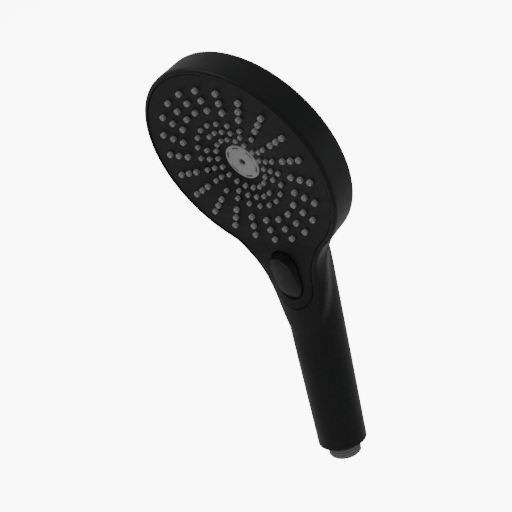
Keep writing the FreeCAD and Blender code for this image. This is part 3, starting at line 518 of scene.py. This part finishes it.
def face_plate():
    """One skin with a rolled edge down every outline and a back that follows the front."""
    outline = pear_points(1.2, **SEAM)
    button = stadium_points(OPENING_RADIUS, 0.9, neck_to_head)
    disc = circle_points(0.0, 0.0, DISC_HOLE, 72)
    holes = [circle_points(*c, LARGE_NOZZLE["hole"], 20) for c in LARGE_CENTRES]
    holes += [circle_points(*c, SMALL_NOZZLE["hole"], 18) for c in SMALL_CENTRES]
    rings = [(outline, 1.0, EDGE_ROUND), (button, -1.0, EDGE_ROUND), (disc, -1.0, EDGE_ROUND)]
    rings += [(hole, -1.0, HOLE_ROUND) for hole in holes]

    flat, ring_spans = [], []
    for ring, side, edge in rings:
        shifted = offset_ring(ring, -side * edge)
        ring_spans.append((len(flat), len(ring)))
        flat += shifted.tolist()
    edges = [(start + i, start + (i + 1) % count) for start, count in ring_spans for i in range(count)]
    lines = np.arange(-66.0, 101.0, PLATE_PITCH * 0.87)
    grid = np.array([(x + (row % 2) * PLATE_PITCH / 2, a) for row, a in enumerate(lines)
                     for x in np.arange(-66.0, 67.0, PLATE_PITCH)])
    clear = pear(grid[:, 0], grid[:, 1], **SEAM) < -1.3
    for ring, _, _ in rings[1:]:
        loop = np.array(ring)
        middle = loop.mean(axis=0)
        near = np.hypot(*(grid - middle).T) < np.hypot(*(loop - middle).T).max() + 1.0
        gap = np.full(len(grid), 9.0)
        if near.any():
            gap[near] = np.hypot(*(grid[near][:, None] - loop[None]).transpose(2, 0, 1)).min(axis=1)
        clear &= gap > 0.9
    flat += grid[clear].tolist()

    made = delaunay_2d_cdt([Vector(p) for p in flat], edges, [], 0, 1e-5)
    spots = np.array([tuple(v) for v in made[0]])
    origin = {old: new for new, olds in enumerate(made[3]) for old in olds}
    corners = np.array([list(face) for face in made[2]])
    middle = spots[corners].mean(axis=1)
    keep = pear(middle[:, 0], middle[:, 1], **SEAM) < 0.0
    keep &= np.hypot(middle[:, 0], middle[:, 1]) > DISC_HOLE
    run = (HEAD.inverted() @ NECK).to_3x3().col[1].y
    along = (middle[:, 1] - neck_to_head(OPENING_RUN)) / run
    beyond = np.maximum(np.abs(along) - OPENING_HALF, 0.0)
    keep &= np.hypot(middle[:, 0], beyond) > OPENING_RADIUS
    for centres, nozzle in ((LARGE_CENTRES, LARGE_NOZZLE), (SMALL_CENTRES, SMALL_NOZZLE)):
        for x, a in centres:
            keep &= np.hypot(middle[:, 0] - x, middle[:, 1] - a) > nozzle["hole"]
    corners = corners[keep]

    top = np.column_stack([spots, plate_level(*spots.T)])
    low = top - (0.0, 0.0, PLATE_THICKNESS)
    points = np.concatenate([top, low]).tolist()
    faces = corners.tolist() + (corners[:, ::-1] + len(top)).tolist()
    for (ring, side, edge), (start, count) in zip(rings, ring_spans):
        upper = [origin[start + i] for i in range(count)]
        lower = [i + len(top) for i in upper]
        previous = upper
        for inset, drop in EDGE_STEPS:
            loop = offset_ring(ring, -side * edge * inset)
            level = plate_level(*np.array(ring).T) - drop * edge
            numbers = list(range(len(points), len(points) + count))
            points += np.column_stack([loop, level]).tolist()
            faces += [(previous[i], numbers[i], numbers[(i + 1) % count], previous[(i + 1) % count])
                      for i in range(count)]
            previous = numbers
        faces += [(previous[i], lower[i], lower[(i + 1) % count], previous[(i + 1) % count])
                  for i in range(count)]
    piece = mesh_object("spray_plate", points, faces, HEAD)
    turn_outwards(piece)
    sharpen(piece, 50)
    return placed(piece, "handset", "plate_black", "face_plate")


def turn_outwards(piece, weld=0.00001):
    """Welds points closer than a distance in metres, if it isn't 0, and turns every face outwards."""
    work = bmesh.new()
    work.from_mesh(piece.data)
    if weld:
        bmesh.ops.remove_doubles(work, verts=work.verts, dist=weld)
    bmesh.ops.recalc_face_normals(work, faces=work.faces)
    work.to_mesh(piece.data)
    work.free()


# ---- nozzles ---------------------------------------------------------------------------------------

def nozzle(x, a, radius, height, foot):
    """One silicone nozzle: a rounded, slightly tapered stub with a flared foot and a fine bore."""
    level = float(plate_level(np.array(x), np.array(a)))
    tip = level + height
    bore = 0.27 * radius
    profile = [(bore, foot), (bore, tip - 0.14), (bore + 0.05, tip - 0.04), (bore + 0.15, tip),
               (radius - 0.4, tip), (radius - 0.2, tip - 0.04), (radius - 0.07, tip - 0.14),
               (radius - 0.01, tip - 0.34), (radius, level - 0.4), (radius, foot)]
    return lathe(profile, 24, (x, a, 0.0))


def nozzle_mat(name, node, centres, size, floor, inner, outer):
    stubs = [nozzle(x, a, size["radius"], size["height"], floor) for x, a in centres]
    half = MAT_THICKNESS / 2
    sheet = lathe([(inner, floor - half), (inner, floor + half), (outer, floor + half),
                   (outer, floor - half)], 96, closed=True)
    piece = mesh_object(name, *gathered(stubs + [sheet]), HEAD)
    turn_outwards(piece)
    sharpen(piece, 45)
    return placed(piece, "handset", "nozzle_grey", node)


# ---- centre disc -----------------------------------------------------------------------------------

def spray_disc():
    """Centre insert: a blind eye, a fine groove ring and six arc slots close to its rounded edge."""
    level = 29.4
    segments = 240
    slot_angle, slot_depth = math.radians(14.0), 1.5
    profile = [(10.8, -7.4), (10.8, -1.8), (2.26, -1.8), (2.26, -0.15), (2.32, -0.04), (2.45, 0.0),
               (8.55, 0.0), (8.62, -0.12), (8.78, -0.12), (8.85, 0.0), (9.44, 0.0), (9.5, 0.0),
               (10.5, 0.0), (10.56, 0.0), (11.45, -0.02), (11.68, -0.09), (11.83, -0.25), (11.88, -0.5),
               (11.88, -1.9), (11.8, -7.4)]
    turns = 2.0 * math.pi * np.arange(segments) / segments
    from_slot = np.abs(np.mod(turns - math.radians(30.0) + math.pi / 6.0, math.pi / 3.0) - math.pi / 6.0)
    in_slot = from_slot < slot_angle
    points, faces = [], []
    for radius, height in profile:
        sunk = in_slot & (9.47 < radius < 10.53)
        heights = level + height - np.where(sunk, slot_depth, 0.0)
        points.append(np.column_stack([radius * np.cos(turns), radius * np.sin(turns), heights]))
    rows = len(points)
    for row in range(rows):
        faces += loops_to_faces(row * segments, (row + 1) % rows * segments, segments)
    piece = mesh_object("centre_disc", np.concatenate(points), faces, HEAD)
    floor_ring = lathe([(0.0, level - 1.7), (2.2, level - 1.7)], 48)
    eye = mesh_object("centre_disc_eye", *floor_ring, HEAD)
    for part in (piece, eye):
        turn_outwards(part)
        sharpen(part, 40)
    placed(piece, "handset", "disc_grey", "spray_disc")
    return placed(eye, "handset", "seal_black", "spray_disc")


# ---- button ----------------------------------------------------------------------------------------

def select_button():
    """Wedge in a stadium outline: drafted sides, a rounded top edge and a slightly crowned top."""
    clearance, skirt, crown = 0.35, 4.0, 0.8
    radius = OPENING_RADIUS - clearance
    outline = np.array(stadium_points(radius, 0.7))
    spine = np.clip(outline[:, 1], OPENING_RUN - OPENING_HALF, OPENING_RUN + OPENING_HALF)
    inward = (np.column_stack([np.zeros(len(outline)), spine]) - outline) / radius
    low_end = OPENING_RUN + OPENING_HALF + radius
    high_end = OPENING_RUN - OPENING_HALF - radius
    draft, edge = 0.42, 1.2

    def crest(y):
        """Height of the top's plane above the neck."""
        return 0.15 + BUTTON_RISE * (low_end - y) / (low_end - high_end - 3.6)

    rise = crest(outline[:, 1])
    soft = np.minimum(edge, 0.25 + rise * 0.75)
    loops = []

    def loop(inset, height):
        """Adds a ring moved inwards by inset, at a height over the neck for each point."""
        spot = outline + inward * np.asarray(inset)[:, None]
        loops.append(np.column_stack([spot, TIP_LEVEL + height]))

    ones = np.ones(len(outline))
    loop(1.6 * ones, -skirt * ones)
    loop(0.0 * ones, -skirt * ones)
    loop(0.0 * ones, -0.3 * ones)
    side = np.maximum(rise - soft, 0.0)
    for share in (0.0, 0.33, 0.67, 1.0):
        loop(draft * side * share, side * share)
    for turn in np.radians((18.0, 36.0, 54.0, 72.0, 90.0)):
        loop(draft * side + soft * (1.0 - math.cos(turn)) * 0.9, side + soft * math.sin(turn) - crown)
    top_inset = draft * side + soft * 0.9
    for share in (0.08, 0.2, 0.35, 0.5, 0.65, 0.8, 0.92):
        inset = top_inset + (radius - top_inset) * share
        y = outline[:, 1] + inward[:, 1] * inset
        loop(inset, crest(y) - crown * (1.0 - share)**2)
    count = len(outline)
    points = np.concatenate(loops).tolist()
    faces = []
    for index in range(len(loops) - 1):
        faces += loops_to_faces(index * count, (index + 1) * count, count)
    last = (len(loops) - 1) * count
    faces.append(tuple(range(last, last + count)))
    faces.append(tuple(reversed(range(count))))
    piece = mesh_object("select_button_cap", points, faces, NECK)
    turn_outwards(piece, 0.0)
    sharpen(piece, 60)
    return placed(piece, "button", "button_black", "select_button")


# ---- hose thread -----------------------------------------------------------------------------------

def hose_connector():
    """G1/2 stub with a true helical ridge, a chamfered end and a bored inlet."""
    crest, root, pitch = 10.4775, 9.3155, 1.814     # G1/2 thread
    segments, rows = 96, 88
    turns = 2.0 * math.pi * np.arange(segments) / segments
    heights = np.linspace(0.0, HANDLE_END - 0.4, rows)
    spin, rise = np.meshgrid(turns, heights)
    phase = np.mod(rise / pitch - spin / (2.0 * math.pi), 1.0)
    ridge = smooth((0.5 - np.abs(phase - 0.5)) * 3.4 - 0.35)
    fade = smooth((rise - 0.1) / 1.3) * smooth((HANDLE_END - 0.7 - rise) / 1.2)
    radius = root + (crest - root) * ridge * fade - 0.35 * smooth((0.5 - rise) / 0.5)
    threads = np.stack([radius * np.cos(spin), radius * np.sin(spin), rise], axis=2).reshape(-1, 3)

    def ring(r, z):
        return [(r * math.cos(t), r * math.sin(t), z) for t in turns]

    points = threads.tolist()
    faces = []
    for row in range(rows - 1):
        faces += loops_to_faces(row * segments, (row + 1) * segments, segments)
    last = (rows - 1) * segments
    plug_and_bore = ((10.9, HANDLE_END - 0.3), (10.9, 38.0), (6.05, 38.0), (6.05, 28.0),
                     (4.5, 28.0), (4.5, 25.0), (7.1, 25.0), (7.1, 12.0), (7.5, 12.0), (7.5, 0.35),
                     (7.8, 0.0), (8.7, 0.0))
    for r, z in plug_and_bore:
        start = len(points)
        points += ring(r, z)
        faces += loops_to_faces(last, start, segments)
        last = start
    faces += loops_to_faces(last, 0, segments)
    piece = mesh_object("threaded_inlet", points, faces, ROW)
    turn_outwards(piece)
    sharpen(piece, 40)
    return placed(piece, "handset", "connector_grey", "hose_connector")


# ---- check valve spring ----------------------------------------------------------------------------

def check_spring():
    """Coil of four turns, fixed on the handset."""
    turns, around, steps = 4, 12, 32
    mean_radius, wire_radius, low, height = 2.0, 0.25, 15.6, 6.4
    points, faces = [], []
    for step in range(turns * steps + 1):
        spin = 2.0 * math.pi * step / steps
        level = low + height * step / (turns * steps)
        for side in range(around):
            lean = 2.0 * math.pi * side / around
            radius = mean_radius + wire_radius * math.cos(lean)
            points.append((radius * math.cos(spin), radius * math.sin(spin),
                           level + wire_radius * math.sin(lean)))
    for step in range(turns * steps):
        faces += loops_to_faces(step * around, (step + 1) * around, around)
    faces += [tuple(range(around)), tuple(range(len(points) - 1, len(points) - 1 - around, -1))]
    piece = mesh_object("check_valve_coil", points, faces, ROW)
    turn_outwards(piece)
    placed(piece, "handset", "steel", "check_spring")
    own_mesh(piece)


# ---- materials -------------------------------------------------------------------------------------

def node_material(name, colour, roughness, vary=0.15, rough_vary=0.08, grain=0.25, grain_depth=0.012,
                  patch=18.0, metallic=0.0, coat=0.0, specular=0.5, wear=None):
    """Procedural plastic, rubber or metal: mottled colour, uneven gloss and a moulded grain.
    grain is the size of the surface texture in mm; patch the size of the slow variation in mm."""
    material = bpy.data.materials.new(name)
    material.use_nodes = True
    tree = material.node_tree
    shader = tree.nodes["Principled BSDF"]
    shader.inputs["Metallic"].default_value = metallic
    shader.inputs["Coat Weight"].default_value = coat
    shader.inputs["Specular IOR Level"].default_value = specular
    place = tree.nodes.new("ShaderNodeTexCoord")

    def noise(size_mm, detail, rough=0.5):
        texture = tree.nodes.new("ShaderNodeTexNoise")
        texture.inputs["Scale"].default_value = 1.0 / (size_mm * MM)
        texture.inputs["Detail"].default_value = detail
        texture.inputs["Roughness"].default_value = rough
        tree.links.new(place.outputs["Object"], texture.inputs["Vector"])
        return texture.outputs["Fac"]

    def spread(value, low, high):
        node = tree.nodes.new("ShaderNodeMapRange")
        node.inputs["From Min"].default_value = 0.3
        node.inputs["From Max"].default_value = 0.7
        node.inputs["To Min"].default_value = low
        node.inputs["To Max"].default_value = high
        tree.links.new(value, node.inputs["Value"])
        return node.outputs["Result"]

    ramp = tree.nodes.new("ShaderNodeValToRGB")
    ramp.color_ramp.elements[0].position = 0.3
    ramp.color_ramp.elements[1].position = 0.7
    ramp.color_ramp.elements[0].color = (*[c * (1.0 - vary) for c in colour], 1.0)
    ramp.color_ramp.elements[1].color = (*[min(c * (1.0 + vary), 1.0) for c in colour], 1.0)
    tree.links.new(noise(patch, 4.0, 0.6), ramp.inputs["Fac"])
    tree.links.new(ramp.outputs["Color"], shader.inputs["Base Color"])
    tree.links.new(spread(noise(patch * 0.4, 5.0), roughness - rough_vary, roughness + rough_vary),
                   shader.inputs["Roughness"])
    bump = tree.nodes.new("ShaderNodeBump")
    bump.inputs["Strength"].default_value = 1.0
    bump.inputs["Distance"].default_value = grain_depth * MM
    tree.links.new(noise(grain, 2.0), bump.inputs["Height"])
    tree.links.new(bump.outputs["Normal"], shader.inputs["Normal"])
    return material


def finish_of():
    """Material for each slot of the record."""
    return {
        "housing_black": node_material("satin_black_housing", (0.008, 0.008, 0.0082), 0.4, vary=0.05,
                                       rough_vary=0.025, grain=0.35, grain_depth=0.003, specular=0.22),
        "plate_black": node_material("fine_matte_black_plate", (0.011, 0.011, 0.0112), 0.5, vary=0.04,
                                     rough_vary=0.02, grain=0.3, grain_depth=0.002, specular=0.17),
        "button_black": node_material("satin_black_button", (0.008, 0.008, 0.0082), 0.38, vary=0.05,
                                      rough_vary=0.025, grain=0.3, grain_depth=0.003, specular=0.22),
        "nozzle_grey": node_material("grey_silicone", (0.26, 0.26, 0.26), 0.55, vary=0.1, grain=0.2,
                                     grain_depth=0.01, patch=6.0),
        "disc_grey": node_material("grey_disc", (0.34, 0.34, 0.34), 0.42, vary=0.04, grain=0.2,
                                   grain_depth=0.004),
        "connector_grey": node_material("grey_connector", (0.24, 0.24, 0.24), 0.45, vary=0.1, grain=0.2,
                                        grain_depth=0.012, patch=5.0),
        "seal_black": node_material("black_rubber", (0.015, 0.015, 0.015), 0.6, grain=0.15),
        "engine_white": node_material("natural_acetal", (0.6, 0.6, 0.57), 0.42, vary=0.05, grain=0.3),
        "engine_blue": node_material("blue_acetal", (0.03, 0.1, 0.28), 0.35, vary=0.08, grain=0.3),
        "steel": node_material("stainless_steel", (0.55, 0.55, 0.56), 0.3, vary=0.05, grain=0.12,
                               grain_depth=0.004, metallic=1.0),
    }


def paint(finishes):
    """Every CAD node and every new piece takes its slot's material."""
    slots = {part["node"]: part["material_slot"] for part in frame["record"]["subparts"]}
    for name, node in frame["nodes"].items():
        node.data.materials.clear()
        node.data.materials.append(finishes[slots[name]])
    for piece in bpy.data.objects:
        if piece.type == "MESH" and piece.get("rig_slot"):
            piece.data.materials.clear()
            piece.data.materials.append(finishes[piece["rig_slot"]])


# ---- studio ----------------------------------------------------------------------------------------

BACKDROP_GLOW = 9.0         # how bright the white surroundings look
WORLD_LIGHT = 0.45          # how much they light the object


def seen_as(tree, socket, looked_at, otherwise):
    """One strength where the surroundings are looked at directly and another for their light."""
    path = tree.nodes.new("ShaderNodeLightPath")
    blend = tree.nodes.new("ShaderNodeMapRange")
    blend.inputs["To Min"].default_value = otherwise
    blend.inputs["To Max"].default_value = looked_at
    tree.links.new(path.outputs["Is Camera Ray"], blend.inputs["Value"])
    tree.links.new(blend.outputs["Result"], socket)


def floor():
    """Pale floor that curves up behind the object and looks as white as the surroundings."""
    level = cad_box[0][2] - 0.16
    rows = [(-3.0, 0.0), (2.2, 0.0), (2.6, 0.06), (2.9, 0.25), (3.05, 0.6), (3.1, 3.0)]
    points = [(x, y, level + z) for y, z in rows for x in (-4.0, 4.0)]
    faces = [(2 * i, 2 * i + 1, 2 * i + 3, 2 * i + 2) for i in range(len(rows) - 1)]
    mesh = bpy.data.meshes.new("studio_floor")
    mesh.from_pydata(points, [], faces)
    mesh.shade_smooth()
    piece = bpy.data.objects.new("studio_floor", mesh)
    bpy.context.scene.collection.objects.link(piece)
    material = node_material("pale_floor", (0.93, 0.93, 0.93), 0.8, vary=0.01, grain=5.0)
    shader = material.node_tree.nodes["Principled BSDF"]
    shader.inputs["Emission Color"].default_value = (1.0, 1.0, 1.0, 1.0)
    seen_as(material.node_tree, shader.inputs["Emission Strength"], BACKDROP_GLOW, 0.0)
    mesh.materials.append(material)


def lamp(name, place, target, size, power):
    light = bpy.data.lights.new(name, "AREA")
    light.shape = "DISK"
    light.size = size
    light.energy = power
    piece = bpy.data.objects.new(name, light)
    piece.location = place
    piece.rotation_euler = (Vector(target) - Vector(place)).to_track_quat("-Z", "Y").to_euler()
    bpy.context.scene.collection.objects.link(piece)


def studio():
    middle = (Vector(cad_box[0]) + Vector(cad_box[1])) / 2
    world = bpy.data.worlds.new("soft_white")
    world.use_nodes = True
    background = world.node_tree.nodes["Background"]
    background.inputs["Color"].default_value = (1.0, 1.0, 1.0, 1.0)
    seen_as(world.node_tree, background.inputs["Strength"], BACKDROP_GLOW, WORLD_LIGHT)
    bpy.context.scene.world = world
    lamp("key_from_above", (-0.5, -0.7, 1.3), middle, 0.9, 4.0)
    lamp("side_fill", (0.9, 1.1, 0.1), middle, 0.8, 0.8)


def camera():
    """The photograph's viewpoint."""
    data = bpy.data.cameras.new("camera")
    data.lens = 85.0
    data.sensor_width = 36.0
    piece = bpy.data.objects.new("camera", data)
    right = Vector((0.6986, 0.6825, -0.2148))
    up = Vector((-0.0877, 0.3796, 0.9210))
    back = Vector((0.7101, -0.6246, 0.3250))
    piece.matrix_world = Matrix.Translation((0.50149, -0.47798, 0.38178)) @ (
        Matrix((right, up, back)).transposed().to_4x4())
    bpy.context.scene.collection.objects.link(piece)
    bpy.context.scene.camera = piece


housing()
seam_lip()
face_plate()
spray_disc()
nozzle_mat("rain_nozzles", "rain_mat", LARGE_CENTRES, LARGE_NOZZLE, 29.6, 36.6, 57.4)
nozzle_mat("soft_nozzles", "soft_mat", SMALL_CENTRES, SMALL_NOZZLE, 26.0, 14.4, 34.0)
select_button()
hose_connector()
check_spring()
paint(finish_of())
floor()
studio()
camera()
